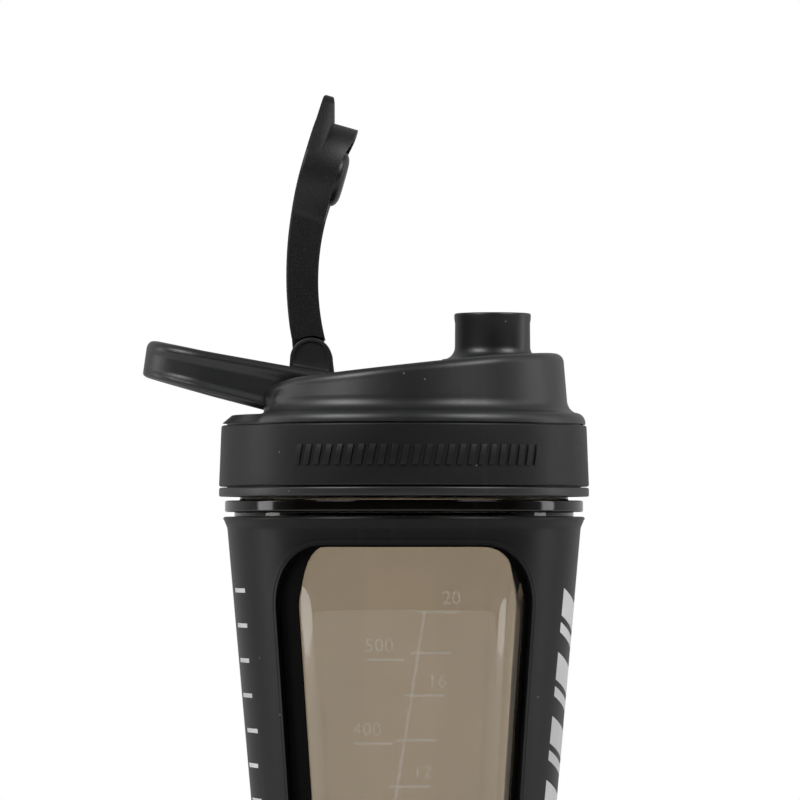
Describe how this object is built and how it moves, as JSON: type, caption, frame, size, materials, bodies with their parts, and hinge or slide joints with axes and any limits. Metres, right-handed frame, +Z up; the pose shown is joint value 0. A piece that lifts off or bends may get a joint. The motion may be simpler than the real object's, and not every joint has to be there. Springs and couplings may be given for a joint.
{
  "type": "protein shaker bottle",
  "caption": "Tapered clear shaker cup in a soft windowed sleeve, with a screw lid, carry loop, drinking spout and hinged flip cap.",
  "frame": {"origin": "centre of the flat foot, on the surface the bottle stands on", "axes": "+Z up along the cup's axis, +X towards the spout, -X towards the carry loop, -Y towards the viewer of the front window"},
  "size_m": [0.1157, 0.096, 0.2934],
  "materials": {
    "cup": "clear smoke-tinted, polished",
    "sleeve": "soft matte silicone",
    "lid": "satin, finely spark-eroded",
    "collar": "soft-touch matte",
    "seal": "translucent grey silicone",
    "cap": "fine matte texture",
    "stopper": "soft matte silicone",
    "steel": "ground pin",
    "wire": "polished stainless wire"
  },
  "bodies": {
    "cup": {"cup": "cup", "sleeve": "sleeve"},
    "seal_ring": {"lid_seal": "seal"},
    "lid": {"lid_shell": "lid", "grip_collar": "collar", "hinge_pin": "steel"},
    "flip_cap": {"flip_cap": "cap", "spout_stopper": "stopper"},
    "mixing_ball": {"mixing_ball": "wire"}
  },
  "joints": [
    {"name": "lid_lift", "type": "slide", "parent": "cup", "child": "seal_ring", "axis": [0, 0, 1], "range_m": [0, 0.02401]},
    {"name": "lid_turn", "type": "hinge", "parent": "seal_ring", "child": "lid", "pos_m": [0, 0, 0.2], "axis": [0, 0, 1], "range_deg": [0, 720]},
    {"name": "cap_hinge", "type": "hinge", "parent": "lid", "child": "flip_cap", "pos_m": [-0.024, 0, 0.22473], "axis": [0, 1, 0], "range_deg": [-68, 74]},
    {"name": "ball_travel", "type": "slide", "parent": "cup", "child": "mixing_ball", "axis": [0, 0, 1], "range_m": [0, 0.145]}
  ],
  "couplings": [
    {"joint": "lid_lift", "follows": "lid_turn", "m_per_rad": 0.0019099}
  ]
}
